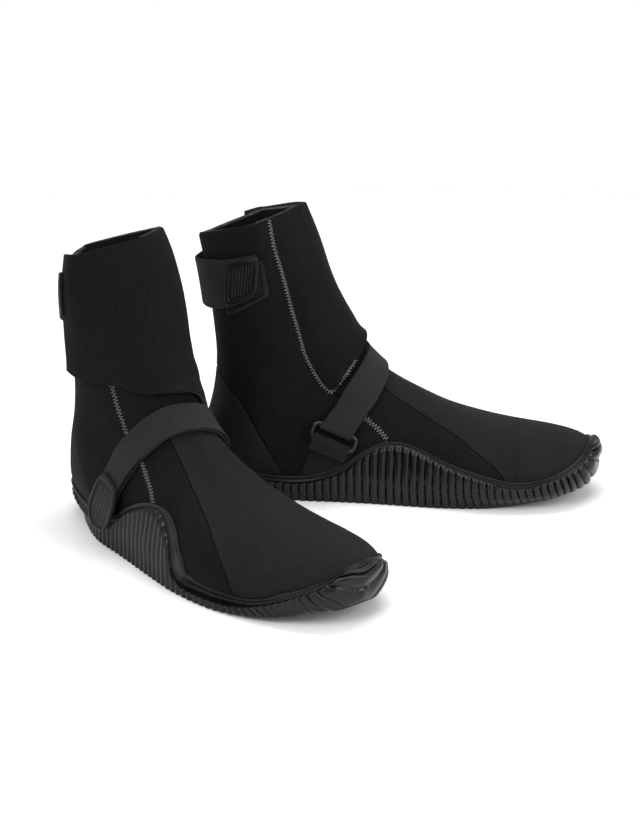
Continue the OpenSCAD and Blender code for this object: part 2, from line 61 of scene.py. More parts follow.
# Sections of the shell from toe to rim: front x, z; back x, z; centre y; half widths medial and
# lateral; where the widest point lies, medial and lateral; roundness of the front and the back.
# A place on the shell is (u, turn): a position between sections and an angle from the front in
# degrees, positive on the lateral side.
STATIONS = np.array([
    [291.5, 28, 291.5, 28, -12, 0, 0, .55, .55, 2, 2],
    [290, 34, 288, 22, -12, 7, 9, .55, .55, 2, 2],
    [286, 40, 282, 14, -12, 19, 20, .58, .58, 2, 2.2],
    [277, 44.5, 271, 9.5, -11, 33, 31, .6, .6, 2, 2.5],
    [260, 48, 254, 7.5, -9, 44, 40, .62, .62, 2, 3],
    [237, 50, 230, 6, -6, 51, 47, .63, .63, 2, 3.4],
    [211, 53.5, 201, 5.5, -3, 52, 51, .64, .64, 2, 3.5],
    [184, 62, 168, 5, -1, 47, 51, .64, .64, 2, 3.5],
    [161, 73, 134, 5, 0, 42, 47, .65, .65, 2, 3.5],
    [141, 85, 98, 5, 0, 38, 43, .66, .66, 2, 3.3],
    [125, 97, 58, 5, 0, 36, 40, .67, .67, 2.1, 3],
    [115, 110, 20, 7, 0, 36, 38, .67, .67, 2.2, 2.4],
    [108.5, 123, -1.5, 18, 0, 37, 37, .6, .6, 2.2, 2.2],
    [101.5, 136.5, -3, 42, 0, 37, 36.5, .55, .55, 2.1, 2.1],
    [94.5, 150.5, 4, 70, 0, 37, 37, .5, .5, 2, 2],
    [88, 167, 7.5, 99, 0, 38, 37.5, .48, .48, 1.95, 2],
    [82, 185, 5.5, 132, 0, 39, 38, .46, .48, 1.8, 1.9],
    [76, 202, 1, 165, 0, 39, 36.5, .44, .48, 1.55, 1.6],
    [70.5, 216.5, -4, 194, 0, 36.5, 34.5, .4, .42, 1.3, 1.32]])
# Seams, as [section, angle]
VAMP_EDGE = [[5.0, 138], [5.12, 132], [5.3, 102], [5.6, 78], [6.2, 58], [7, 42], [8, 34.5], [9, 30],
             [9.9, 27]]
QUARTER_EDGE = [[7.98, 139], [8.08, 100], [8.25, 78], [8.6, 68], [9.3, 59], [10.4, 53], [11.2, 54],
                [12.4, 57], [13.9, 62], [15.6, 66], [17, 66], [18, 64]]
HEEL_EDGE = [[10.05, 137.4], [10.1, 130], [10.2, 122], [10.3, 115.5], [10.5, 106], [10.7, 99.5],
             [11, 94], [11.4, 92], [11.9, 94], [12.4, 98], [12.9, 105], [13.4, 114.5],
             [13.8, 125.5], [14.2, 137], [14.5, 148], [14.8, 164.5]]
# The flap's lower edge, as [angle, section], and its lateral end
FLAP_FOOT = [
    [-54, 10.75], [-27, 10.9], [-5, 11.2], [28, 11.85], [59, 13.2], [99, 14.5], [112, 14.9]]
FLAP_FROM, FLAP_END = -54, 112
# Straps, as [angle, lower edge, upper edge]
STRAP_RUN = [
    [-74, 9.25, 10.42], [-50, 9.3, 10.56], [-27, 9.3, 10.62], [0, 9.46, 10.8], [15, 9.62, 11],
    [32, 9.75, 11.08], [51, 9.77, 11], [76, 9.74, 10.6], [100, 9.66, 10.32]]
CALF_EDGES = [[100, 16.2, 17.42], [180, 16.3, 17.42], [240, 16.1, 17.2], [272, 16.05, 17.1]]
# The sole's side wall in columns from toe to heel: [section, angle] of its foot, two levels
# between, its top and the band's upper edge, then how upright the lower wall stands.
MEDIAL_WALL = np.array([
    [2.3, 180, 1.15, 180, 1.05, 0, 1.85, 0, 2.25, 0, 0],
    [2.5, 152, 1.6, 150, 1.5, 42, 2.15, 27, 2.5, 22, 0],
    [2.9, 141, 2.4, 125, 2.4, 84, 2.6, 55, 2.82, 44, 0],
    [3.5, 138, 3.3, 118, 3.25, 97, 3.25, 76, 3.38, 64, 0],
    [4.3, 137, 4.2, 120, 4.2, 105, 4.2, 88, 4.2, 81, 0],
    [5.2, 137, 5.2, 122, 5.2, 108, 5.15, 93, 5.15, 87, .1],
    [6.1, 137, 6.1, 121, 6.05, 105, 6, 87, 6, 81, .45],
    [6.9, 137, 6.9, 120, 6.9, 100, 6.85, 80, 6.85, 75.5, .85],
    [7.6, 137, 7.6, 119, 7.6, 95, 7.55, 73, 7.55, 69.5, 1],
    [8.2, 137, 8.2, 119, 8.2, 95, 8.2, 71.5, 8.22, 68, 1],
    [8.8, 137, 8.8, 121, 8.8, 101, 8.75, 80, 8.8, 75.5, 1],
    [9.35, 138, 9.35, 129, 9.35, 117, 9.3, 104, 9.4, 98, 1],
    [9.8, 140, 9.8, 134, 9.8, 127, 9.8, 120, 9.88, 113, .9],
    [10.3, 141, 10.32, 136, 10.32, 131, 10.35, 126, 10.48, 119, .5],
    [10.75, 142, 10.8, 137, 10.87, 132, 10.95, 127, 11.08, 120, .2],
    [11.1, 151, 11.22, 146, 11.35, 141, 11.48, 136, 11.64, 129, 0],
    [11.35, 166, 11.52, 163, 11.7, 160, 11.88, 157, 12.06, 154, 0],
    [11.45, 180, 11.7, 180, 11.95, 180, 12.2, 180, 12.38, 180, 0]])
LATERAL_WALL = np.array([
    [2.3, 180, 1.15, 180, 1.05, 0, 1.85, 0, 2.25, 0, 0],
    [2.5, 152, 1.6, 150, 1.5, 42, 2.05, 30, 2.3, 26, 0],
    [2.9, 141, 2.4, 125, 2.35, 88, 2.4, 62, 2.55, 53, 0],
    [3.5, 138, 3.3, 120, 3.2, 102, 3.1, 84, 3.15, 74, .35],
    [4.3, 137, 4.2, 127, 4.2, 116, 4.15, 104, 4.2, 94, .85],
    [5.15, 158, 5.15, 147, 5.15, 137, 5.15, 127, 5.15, 113, 1],
    [5.9, 160, 5.9, 151, 5.9, 142, 5.9, 133, 5.9, 113, 1],
    [6.55, 160, 6.55, 151, 6.55, 142, 6.55, 133, 6.4, 111, 1],
    [7, 154, 7, 145, 7, 134, 6.96, 122, 6.76, 92, 1],
    [7.35, 141, 7.35, 128, 7.35, 108, 7.34, 86, 7.08, 78, 1],
    [7.75, 138, 7.75, 121, 7.75, 98, 7.72, 74, 7.5, 66.5, 1],
    [8.25, 137, 8.25, 118, 8.25, 93, 8.2, 67.5, 8.13, 62.5, 1],
    [8.8, 137, 8.8, 120, 8.8, 98, 8.78, 74.5, 8.82, 71, 1],
    [9.35, 138, 9.35, 126, 9.35, 110, 9.35, 92, 9.4, 87, 1],
    [9.9, 140, 9.9, 134, 9.9, 127, 9.9, 120, 9.98, 114, .9],
    [10.6, 143, 10.65, 138, 10.7, 133, 10.75, 128, 10.88, 121, .3],
    [11.2, 156, 11.35, 152, 11.52, 148, 11.68, 143, 11.85, 137, 0],
    [11.45, 180, 11.7, 180, 11.95, 180, 12.2, 180, 12.38, 180, 0]])
# The tread's underside, as [x, z]
ROCKER = [[-20, 0], [205, 0], [216, .6], [228, 1.8], [242, 3.5], [256, 5.6], [269, 8.2], [281, 12],
          [290, 16.5], [300, 22]]
TOE = 2.2           # sections before this one close up inside the toe
RIM_LEAN = 4        # the rim is lower on the lateral side
RIM = 18            # the last section
GAP = .5
WEB, HOOK, SHELL, LINING, FLAP_T, TAB_T = 1.6, 1.1, 4, .8, 3.4, 2.8
RIBS = 112


def smooth(t):
    t = np.clip(t, 0, 1)
    return t * t * (3 - 2 * t)


def turn_down(d, width):
    """1 at an edge, falling to 0 at a distance of width along a quarter circle."""
    return 1 - np.sqrt(np.clip(1 - (1 - np.clip(d / width, 0, 1)) ** 2, 0, 1))


def unit(v):
    return v / np.linalg.norm(v, axis=-1, keepdims=True)


def path_length(p):
    """Distance along a line of points, from 0."""
    return np.concatenate([[0], np.cumsum(np.linalg.norm(np.diff(p, axis=0), axis=1))])


def table(rows, k, col=1):
    """A smooth (monotone cubic) curve through a column of a table."""
    a = np.array(rows, float)
    x, y = a[:, 0], a[:, col]
    h, d = np.diff(x), np.diff(y) / np.diff(x)
    m = np.zeros(len(x))
    m[0], m[-1] = d[0], d[-1]
    w1, w2 = 2 * h[1:] + h[:-1], h[1:] + 2 * h[:-1]
    same = d[1:] * d[:-1] > 0
    m[1:-1][same] = ((w1 + w2)[same] / (w1[same] / d[:-1][same] + w2[same] / d[1:][same]))
    k = np.clip(np.asarray(k, float), x[0], x[-1])
    i = np.clip(np.searchsorted(x, k) - 1, 0, len(h) - 1)
    t = (k - x[i]) / h[i]
    return ((1 + 2 * t) * (1 - t) ** 2 * y[i] + t * (1 - t) ** 2 * h[i] * m[i]
            + t * t * (3 - 2 * t) * y[i + 1] + t * t * (t - 1) * h[i] * m[i + 1])


def between(run, t, f):
    """The section at a fraction f of the way across a strap."""
    low = table(run, t)
    return low + (table(run, t, 2) - low) * f


def curve4(p0, p1, p2, p3, f):
    """A Catmull-Rom curve from p1 to p2."""
    return .5 * (2 * p1 + (p2 - p0) * f + (2 * p0 - 5 * p1 + 4 * p2 - p3) * f ** 2
                 + (3 * p1 - p0 - 3 * p2 + p3) * f ** 3)


def station(u):
    n = len(STATIONS)
    u = np.clip(u, 0, n - 1)
    i = np.minimum(u.astype(int), n - 2)
    f = (u - i)[..., None]
    a, b = STATIONS[i], STATIONS[i + 1]
    p = np.where((i > 0)[..., None], STATIONS[np.maximum(i - 1, 0)], 2 * a - b)
    q = np.where((i < n - 2)[..., None], STATIONS[np.minimum(i + 2, n - 1)], 2 * b - a)
    return curve4(p, a, b, q, f)


def skin(u, turn):
    """The point of the shell's outside at a section and an angle."""
    u, turn = np.broadcast_arrays(np.asarray(u, float), np.asarray(turn, float))
    q = station(u)
    turn = (turn + 540) % 360 - 180
    fx, fz, bx, bz, cy, wm, wl, sm, sl, n1, n2 = [q[..., k] for k in range(11)]
    lat = turn >= 0
    w, s0 = np.where(lat, wl, wm), np.where(lat, sl, sm)
    t = np.radians(turn)
    c, n = np.cos(t), np.where(np.cos(t) > 0, n1, n2)
    reach = np.abs(c) ** (2 / n)
    s = np.where(c > 0, s0 * (1 - reach), s0 + (1 - s0) * reach)
    y = w * np.abs(np.sin(t)) ** (2 / n)
    lean = RIM_LEAN * np.clip((u - 15) / 3, 0, 1) ** 2 * np.sin(t)
    return np.stack([fx + (bx - fx) * s, cy + np.where(lat, y, -y), fz + (bz - fz) * s - lean], -1)


def outward(u, turn):
    e = .02
    a = skin(np.asarray(u) + e, turn) - skin(np.asarray(u) - e, turn)
    b = skin(u, np.asarray(turn) + 1) - skin(u, np.asarray(turn) - 1)
    n = np.cross(b, a)
    return n / np.maximum(np.linalg.norm(n, axis=-1, keepdims=True), 1e-9)


def sag(p):
    """Soft unevenness that every layer of the upper shares."""
    x, y, z = p[..., 0], p[..., 1], p[..., 2]
    v = (np.sin(x / 13 + z / 17 + 1) * np.sin(y / 15 - z / 21 + 2)
         + .6 * np.sin(x / 7.5 - y / 9 + z / 31) * np.sin(z / 8.5 + y / 19 + .7))
    ankle = np.exp(-((z - 108) / 22) ** 2) * np.exp(-((x - 96) / 26) ** 2)
    crease = np.sin((z - 1.2 * x) / 4.6 + .5 * np.sin(y / 11))
    return .3 * v + .45 * ankle * crease


def lift(u, turn, off):
    """The point that stands off mm outside the shell (inside when negative)."""
    u, turn, off = np.broadcast_arrays(np.asarray(u, float), np.asarray(turn, float),
                                       np.asarray(off, float))
    uu = np.where(off < 0, np.maximum(u, TOE), u)
    p = skin(uu, turn)
    out = p + (off + sag(p))[..., None] * outward(uu, turn)
    near = (off < 0) & (u < TOE)
    if near.any():
        o = off[near]
        core = np.zeros((len(o), 3))
        for v in np.unique(o):
            ends = [skin(TOE, t) + v * outward(TOE, t) for t in (.0, 180.0)]
            core[o == v] = (ends[0] + ends[1]) / 2 + [1.5, 0, 0]
        f = (u[near] / TOE)[:, None]
        out[near] = core + (out[near] - core) * f
    return out


# ---------- meshes
def quads(nr, nc, wrap=False, keep=None):
    """The cells of a grid; wrap joins its last column to its first, keep picks cells."""
    i, j = np.meshgrid(np.arange(nr - 1), np.arange(nc if wrap else nc - 1), indexing="ij")
    j2 = (j + 1) % nc
    f = np.stack([i * nc + j, i * nc + j2, (i + 1) * nc + j2, (i + 1) * nc + j], -1)
    f = f.reshape(-1, 4)
    return f if keep is None else f[keep.reshape(-1)]


def rim_edges(nr, nc, wrap, keep):
    """Edges with a cell on one side only, in the direction that the cell runs."""
    f = quads(nr, nc, wrap, keep)
    e = np.concatenate([f[:, [0, 1]], f[:, [1, 2]], f[:, [2, 3]], f[:, [3, 0]]])
    key = np.sort(e, 1) @ np.array([nr * nc, 1])
    _, idx, cnt = np.unique(key, return_index=True, return_counts=True)
    return e[idx[cnt == 1]]


class Piece:
    """Vertices and faces of one piece, in boot millimetres."""

    def __init__(self):
        self.v, self.f, self.uv, self.m, self.n = [], [], [], [], 0

    def add(self, verts, faces, uv=None):
        verts = verts.reshape(-1, 3)
        uv = verts[:, :2] if uv is None else uv.reshape(-1, 2)
        self.v.append(verts)
        self.uv.append(uv)
        self.f += (faces + self.n).tolist()
        self.m += [0] * len(faces)
        self.n += len(verts)
        return self

    def cover(self, faces, mat=0):
        """Further faces between the vertices already there."""
        self.f += faces
        self.m += [mat] * len(faces)

    def slab(self, outer, inner, wrap=False, keep=None, edge=0, uv=None):
        """A closed solid between two grids; the rim faces may have another material."""
        nr, nc = outer.shape[:2]
        n = nr * nc
        f = quads(nr, nc, wrap, keep)
        e = rim_edges(nr, nc, wrap, keep)
        uv = arc_uv(outer) if uv is None else uv
        uv = np.concatenate([uv.reshape(-1, 2)] * 2)
        self.add(np.concatenate([outer.reshape(-1, 3), inner.reshape(-1, 3)]),
                 np.concatenate([f, f[:, ::-1] + n]), uv)
        base = self.n - 2 * n
        walls = np.stack([e[:, 1], e[:, 0], e[:, 0] + n, e[:, 1] + n], -1) + base
        self.cover(walls.tolist(), edge)
        return self


def arc_uv(g):
    """Distances along and across a grid, in mm, for weave patterns."""
    a = np.concatenate([np.zeros((g.shape[0], 1)),
                        np.cumsum(np.linalg.norm(np.diff(g, axis=1), axis=2), 1)], 1)
    b = np.concatenate([np.zeros((1, g.shape[1])),
                        np.cumsum(np.linalg.norm(np.diff(g, axis=0), axis=2), 0)], 0)
    return np.stack([a - a[:, a.shape[1] // 2][:, None], b], -1)


def world(side, p):
    """Boot millimetres to metres in the shared frame."""
    x, y, turn, flip = PLACE[side]
    p = np.asarray(p, float) * [1, flip, 1]
    c, s = math.cos(turn), math.sin(turn)
    return (np.stack([p[..., 0] * c - p[..., 1] * s + x, p[..., 0] * s + p[..., 1] * c + y,
                      p[..., 2]], -1) / 1000).tolist()


def add_object(name, data):
    ob = bpy.data.objects.new(name, data)
    bpy.context.scene.collection.objects.link(ob)
    return ob


def make(name, side, piece, mats, body="boot", node=None, sharp=38, span=None):
    """Build a piece's object, put it on its body and hide the CAD node that it replaces.
    span is (body, body, point, direction, length) of the stretch between two bodies; a piece given
    a span is only baked in place and put on no body, and nothing bends."""
    faces = piece.f if PLACE[side][3] > 0 else [f[::-1] for f in piece.f]
    label = side + "_" + name + "_piece"
    me = bpy.data.meshes.new(label)
    me.from_pydata(world(side, np.concatenate(piece.v)), [], faces)
    uv = np.concatenate(piece.uv)
    layer = me.uv_layers.new(name="mm")
    loops = np.zeros(len(me.loops), np.int32)
    me.loops.foreach_get("vertex_index", loops)
    layer.data.foreach_set("uv", uv[loops].astype(np.float32).reshape(-1))
    for m in mats if isinstance(mats, list) else [mats]:
        me.materials.append(m)
    me.polygons.foreach_set("material_index", np.array(piece.m, np.int32))
    me.polygons.foreach_set("use_smooth", np.ones(len(me.polygons), bool))
    me.validate()
    me.set_sharp_from_angle(angle=math.radians(sharp))
    ob = add_object(label, me)
    if span:
        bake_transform(ob)
    else:
        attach(ob, side + "_" + body)
    if node != "":
        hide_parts(side + "_" + (node or name))
    return ob


# ---------- materials
class Nodes:
    """A material on its Principled shader; an underscore in a keyword is a space in the socket."""

    def __init__(self, name, color, rough, **sockets):
        self.mat = bpy.data.materials.new(name)
        self.mat.use_nodes = True
        self.t = self.mat.node_tree
        self.bsdf = self.t.nodes["Principled BSDF"]
        self.bsdf.inputs["Base Color"].default_value = (*color, 1)
        self.bsdf.inputs["Roughness"].default_value = rough
        for k, v in sockets.items():
            self.bsdf.inputs[k.replace("_", " ")].default_value = v

    def node(self, kind, **kw):
        """A node with its settings; in_NAME sets an input."""
        n = self.t.nodes.new(kind)
        for k, v in kw.items():
            if k.startswith("in_"):
                key = k[3:]
                n.inputs[int(key) if key.isdigit() else key].default_value = v
            else:
                setattr(n, k, v)
        return n

    def link(self, a, b):
        self.t.links.new(a, b)

    def math(self, op, a, b=None, c=None):
        n = self.node("ShaderNodeMath", operation=op)
        for k, v in enumerate((a, b, c)):
            if v is None:
                continue
            if isinstance(v, (int, float)):
                n.inputs[k].default_value = v
            else:
                self.link(v, n.inputs[k])
        return n.outputs[0]

    def weigh(self, *parts):
        """The sum of (socket, weight) pairs."""
        total = None
        for socket, weight in parts:
            part = self.math("MULTIPLY", socket, weight)
            total = part if total is None else self.math("ADD", total, part)
        return total

    def noise(self, scale, detail, rough=.5):
        tc = self.node("ShaderNodeTexCoord")
        n = self.node("ShaderNodeTexNoise", in_Scale=scale, in_Detail=detail, in_Roughness=rough)
        self.link(tc.outputs["Object"], n.inputs["Vector"])
        return n.outputs["Fac"]

    def uv(self):
        tc = self.node("ShaderNodeUVMap", uv_map="mm")
        s = self.node("ShaderNodeSeparateXYZ")
        self.link(tc.outputs[0], s.inputs[0])
        return s.outputs[0], s.outputs[1]

    def wave(self, x, pitch):
        return self.math("SINE", self.math("MULTIPLY", x, 2 * math.pi / pitch))

    def weave(self, u, pitch_u, v, pitch_v):
        """Crossing waves, 0 to 1."""
        both = self.math("MULTIPLY", self.wave(u, pitch_u), self.wave(v, pitch_v))
        return self.math("MULTIPLY_ADD", both, .5, .5)

    def color(self, fac, dark, pale, lo, hi):
        r = self.node("ShaderNodeValToRGB")
        for stop, at, c in zip(r.color_ramp.elements, (lo, hi), (dark, pale)):
            stop.position, stop.color = at, (*c, 1)
        self.link(fac, r.inputs[0])
        self.link(r.outputs[0], self.bsdf.inputs["Base Color"])

    def rough(self, fac, a, b):
        m = self.node("ShaderNodeMapRange", in_3=a, in_4=b)
        self.link(fac, m.inputs[0])
        self.link(m.outputs[0], self.bsdf.inputs["Roughness"])

    def bump(self, *layers):
        """Stacked bumps: (height, strength, distance in mm). Gives the finished material."""
        last = None
        for h, k, d in layers:
            b = self.node("ShaderNodeBump", in_Strength=k, in_Distance=d / 1000)
            self.link(h, b.inputs["Height"])
            if last is not None:
                self.link(last, b.inputs["Normal"])
            last = b.outputs[0]
        self.link(last, self.bsdf.inputs["Normal"])
        return self.mat


def neoprene_material():
    m = Nodes("neoprene", (.005, .005, .0055), .85, Specular_IOR_Level=.08, Sheen_Weight=.022,
              Sheen_Roughness=.4, Sheen_Tint=(.7, .75, .9, 1))
    fine, lint = m.noise(1500, 2), m.noise(700, 3, rough=.7)
    cloud, fleck = m.noise(22, 3), m.noise(2300, 1)
    mix = m.weigh((lint, .55), (cloud, .2), (fleck, .25))
    m.color(mix, (.0016, .0016, .0021), (.0098, .0097, .0115), .38, .7)
    m.rough(cloud, .78, .92)
    return m.bump((fine, .5, .2), (lint, .4, .35), (cloud, .25, 1.5))


def textured_material():
    """Woven facing: dots along the two diagonals."""
    m = Nodes("textured_fabric", (.02, .02, .021), .8, Specular_IOR_Level=.09, Sheen_Weight=.018,
              Sheen_Roughness=.4, Sheen_Tint=(.8, .82, .9, 1))
    u, v = m.uv()
    h = m.weave(m.math("ADD", u, v), 2.1, m.math("SUBTRACT", u, v), 2.5)
    lint, cloud = m.noise(1000, 2, rough=.7), m.noise(18, 3)
    m.color(m.weigh((lint, .43), (cloud, .12), (h, .45)), (.0016, .0017, .002),
            (.024, .0245, .0265), .36, .8)
    m.rough(cloud, .7, .88)
    return m.bump((h, .8, .45), (lint, .4, .25), (cloud, .2, 1.5))


def webbing_material(name, dark, pale, pitch, cross):
    m = Nodes(name, dark, .75, Specular_IOR_Level=.15, Sheen_Weight=.03, Sheen_Roughness=.4,
              Sheen_Tint=(.8, .82, .9, 1))
    u, v = m.uv()
    h = m.weave(u, pitch, v, cross)
    lint, cloud = m.noise(1100, 2, rough=.7), m.noise(25, 2)
    m.color(m.weigh((lint, .33), (cloud, .12), (h, .55)), dark, pale, .3, .8)
    m.rough(cloud, .68, .84)
    return m.bump((h, .8, .4), (lint, .4, .25))


def rubber_material(name, dark, pale, rough_a, rough_b, level):
    m = Nodes(name, dark, .45, Specular_IOR_Level=level)
    grit, smear, wear = m.noise(1300, 2), m.noise(55, 4, rough=.6), m.noise(14, 3)
    m.color(m.weigh((smear, .7), (wear, .3)), dark, pale, .38, .7)
    m.rough(smear, rough_a, rough_b)
    return m.bump((grit, .35, .12), (smear, .25, .4))


def foam_edge_material():
    m = Nodes("cut_edge", (.03, .03, .032), .9, Specular_IOR_Level=.15)
    n, k = m.noise(1700, 2), m.noise(300, 3)
    m.color(k, (.012, .012, .013), (.06, .06, .063), .35, .7)
    return m.bump((n, .8, .3), (k, .5, .4))


def thread_material(name, dark, pale):
    m = Nodes(name, dark, .7, Specular_IOR_Level=.25)
    u, v = m.uv()
    twist = m.wave(m.math("ADD", u, m.math("MULTIPLY", v, .6)), .45)
    fuzz = m.noise(2200, 2)
    c = m.math("ADD", m.math("MULTIPLY_ADD", twist, .2, .3), m.math("MULTIPLY", fuzz, .5))
    m.color(c, dark, pale, .25, .8)
    return m.bump((twist, .6, .1), (fuzz, .5, .1))


def knit_material(name, dark, pale):
    m = Nodes(name, dark, .9, Specular_IOR_Level=.12)
    u, v = m.uv()
    h, lint = m.weave(u, 1.2, v, 1.6), m.noise(900, 2)
    m.color(m.weigh((h, .5), (lint, .5)), dark, pale, .3, .75)
    return m.bump((h, .5, .3), (lint, .5, .3))


def nap_material(name, dark, pale, scale):
    m = Nodes(name, dark, .95, Specular_IOR_Level=.1, Sheen_Weight=.06, Sheen_Roughness=.5)
    a, b = m.noise(scale, 3, rough=.8), m.noise(scale / 4, 2)
    m.color(a, dark, pale, .35, .75)
    return m.bump((a, 1.0, .5), (b, .4, .5))


def ring_material():
    m = Nodes("ring_gloss", (.006, .006, .0065), .26, Specular_IOR_Level=.4)
    s = m.noise(240, 3)
    m.color(s, (.004, .004, .0045), (.014, .014, .015), .35, .75)
    m.rough(s, .22, .38)
    return m.bump((s, .15, .1))


NEOPRENE = neoprene_material()
TEXTURED = textured_material()
CUT = foam_edge_material()
WEBBING = webbing_material("strap_webbing", (.0025, .0026, .003), (.03, .0305, .033), 1.5, 1.1)
SMOOTH_WEB = webbing_material("smooth_webbing", (.003, .003, .0034), (.0145, .0145, .016), .7, .9)
SOLE = rubber_material("sole_rubber", (.0014, .0016, .002), (.0042, .0046, .0056), .27, .34,
                       .27)
BAND = rubber_material("band_rubber", (.0025, .0028, .0034), (.0065, .007, .0082), .36, .5, .2)
TAB = rubber_material("tab_rubber", (.0027, .003, .003), (.006, .0065, .0065), .42, .55, .2)
THREAD = thread_material("thread", (.05, .05, .053), (.25, .25, .26))
DARK_THREAD = thread_material("dark_thread", (.012, .012, .013), (.045, .045, .048))
LINING_MAT = knit_material("lining_knit", (.003, .003, .0035), (.012, .012, .0135))
FOOTBED_MAT = knit_material("footbed_cloth", (.004, .004, .0045), (.016, .016, .018))
HOOKS = nap_material("hook_pad", (.003, .003, .0035), (.022, .022, .024), 1300)
LOOPS = nap_material("loop_pad", (.003, .003, .0035), (.016, .016, .018), 700)
RING = ring_material()


# ---------- pieces
def from_border(grid, keep=None):
    """How far each grid point is from the piece's own edge, in mm."""
    nr, nc = grid.shape[:2]
    ends = np.unique(rim_edges(nr, nc, False, keep))
    p = grid.reshape(-1, 3)
    edge = p[ends]
    d = np.full(len(p), 1e9)
    for k in range(0, len(edge), 64):
        d = np.minimum(d, np.linalg.norm(p[:, None] - edge[None, k:k + 64], axis=2).min(1))
    return d.reshape(nr, nc)


def panel(u, turn, low=-SHELL, high=0, groove=.9, width=1.5, keep=None, edge=0):
    """A sewn panel: its face turns down into the seam along its edges."""
    u, turn = np.broadcast_arrays(u, turn)
    base = skin(u, turn)
    fall = groove * turn_down(from_border(base, keep), width)
    outer = base + (high - fall + sag(base))[..., None] * outward(u, turn)
    outer = np.where((u < .05)[..., None], base, outer)
    return Piece().slab(outer, lift(u, turn, low), keep=keep, edge=edge)


def rows(*spans):
    """A column of sections: (from, to, steps) for each stretch."""
    out = [np.linspace(a, b, n, endpoint=False) for a, b, n in spans]
    return np.concatenate(out + [[spans[-1][1]]])[:, None]


def frac(n):
    """A row of n fractions from 0 to 1."""
    return np.linspace(0, 1, n)[None, :]


def vamp(side):
    u = rows((0, .4, 6), (.4, 5, 76), (5, 6.2, 50), (6.2, 9.88, 66))
    e = np.where(u < 5, 138, table(VAMP_EDGE, u)) - .25
    make("vamp", side, panel(u, -e + 2 * e * frac(121)), TEXTURED,
         node="vamp_panel")


def side_panel(side, way, name):
    u = rows((5.14, 5.7, 30), (5.7, 7.9, 44), (7.9, 8.7, 36), (8.7, 9.88, 26))
    a = table(VAMP_EDGE, u) + .3
    b = np.minimum(137.4, table(QUARTER_EDGE, u) - .3)
    t = a + (b - a) * frac(41)
    t = t if way > 0 else -t[:, ::-1]
    make(name, side, panel(u, t), NEOPRENE)


def rear_quarter(side):
    u = rows((8.04, 8.7, 32), (8.7, 10.06, 28), (10.06, 11, 34), (11, 14.8, 84), (14.8, RIM, 56))
    q = table(QUARTER_EDGE, u) + .3
    h = np.where(u < 10.05, 137.4, table(HEEL_EDGE, u) - .3)
    h = np.where(u > 14.81, 164.5, h)
    t = np.concatenate([q + (h - q) * frac(51), h + (360 - 2 * h) * frac(17)[:, 1:-1],
                        360 - h + (h - q) * frac(51)], 1)
    keep = np.ones((len(u) - 1, t.shape[1] - 1), bool)
    keep[u[:-1, 0] < 14.79, 50:66] = False     # the heel panel's opening
    make("rear_quarter", side, panel(u, t, keep=keep, edge=1), [NEOPRENE, CUT])


def heel_panel(side):
    u = rows((10.06, 11, 34), (11, 14.79, 84))
    h = table(HEEL_EDGE, u) + .3
    make("heel_panel", side, panel(u, h + (360 - 2 * h) * frac(91)), TEXTURED)


def gusset(side):
    u = rows((9.92, RIM, 130))
    q = table(QUARTER_EDGE, u) - .3
    make("front_gusset", side, panel(u, -q + 2 * q * frac(81), edge=1), [NEOPRENE, CUT])


def flap_lift(u, t):
    """The flap stands off a little at its free lower and lateral edges."""
    above = np.clip(u - table(FLAP_FOOT, t), 0, 9)
    low = np.exp(-above / .45) * smooth((t + 40) / 40)
    front = np.exp(-((t - 2) / 30) ** 2)
    lateral = np.exp(-(FLAP_END - t) / 14) * .5 + 1.3 * smooth((t - 66) / 24) * smooth((u - 14) / 2)
    ripple = .35 * np.sin(t / 13) * np.exp(-above / .8)
    return low * (1.3 + 2.2 * front + ripple) + lateral


def flap_top(u, t, rise):
    """Height of the flap's face over the shell; rise is 0 at its sewn edge, where it lies
    flush, to 1 where it has its full height."""
    return .55 + (GAP + .35 + FLAP_T - .55) * rise + flap_lift(u, t)


def flap(side):
    s, f = frac(171), np.linspace(0, 1, 131)[:, None]
    u = table(FLAP_FOOT, FLAP_FROM + (FLAP_END - FLAP_FROM) * s) * (1 - f) + (RIM + .04) * f
    q = table(QUARTER_EDGE, u) + 1
    t = -q + (FLAP_END + q) * s
    base, n = skin(u, t), outward(u, t)
    sewn = np.linalg.norm(base - base[:, :1], axis=2)     # distance from the sewn edge
    rise = smooth(sewn / 15)
    fall = .8 * smooth(sewn / 6) * turn_down(from_border(base), 1.4)
    top = flap_top(u, t, rise) + sag(base)
    outer = base + (top - fall)[..., None] * n
    inner = base + (np.minimum(top - FLAP_T * (.16 + .84 * rise), top - .5)
                    + fall * .6)[..., None] * n
    make("front_flap", side, Piece().slab(outer, inner, edge=1), [NEOPRENE, CUT],
         span=FLAP_FOLD)


# Stretches between one body and the next: bodies, point, direction, length; make uses only whether
# one is given, and nothing bends there
FLAP_FOLD = ("boot", "flap", [63.0, -37, 153], [-.0165, .997, .051], 20)
TAIL_FOLD = ("boot", "instep_tail", [109.9, -33.7, 73.3], [.422, .364, .830], 9)
CALF_FOLD = ("flap", "calf_strap", [30.3, 40.3, 160], [-.7071, -.7071, 0], 13)


def lining(side):
    u, t = np.broadcast_arrays(rows((0, TOE, 6), (TOE, RIM, 180)),
                               np.linspace(-180, 180, 121)[None, :-1])
    outer = lift(u, t, -SHELL - GAP)[1:]
    inner = lift(u, t, -SHELL - GAP - LINING)[1:]
    pc = Piece().slab(outer, inner, wrap=True, uv=np.stack([t[1:] * .7, u[1:] * 16], -1))
    # close the toe: the first ring's wall gives way to a cap inside and out
    w, n = outer.shape[1], outer.shape[0] * outer.shape[1]
    pc.f = [f for f in pc.f if not (min(f) < w and n <= max(f) < n + w)]
    pc.m = [0] * len(pc.f)
    pc.cover([list(range(w))[::-1], [n + k for k in range(w)]])
    make("lining_sock", side, pc, LINING_MAT, sharp=60)


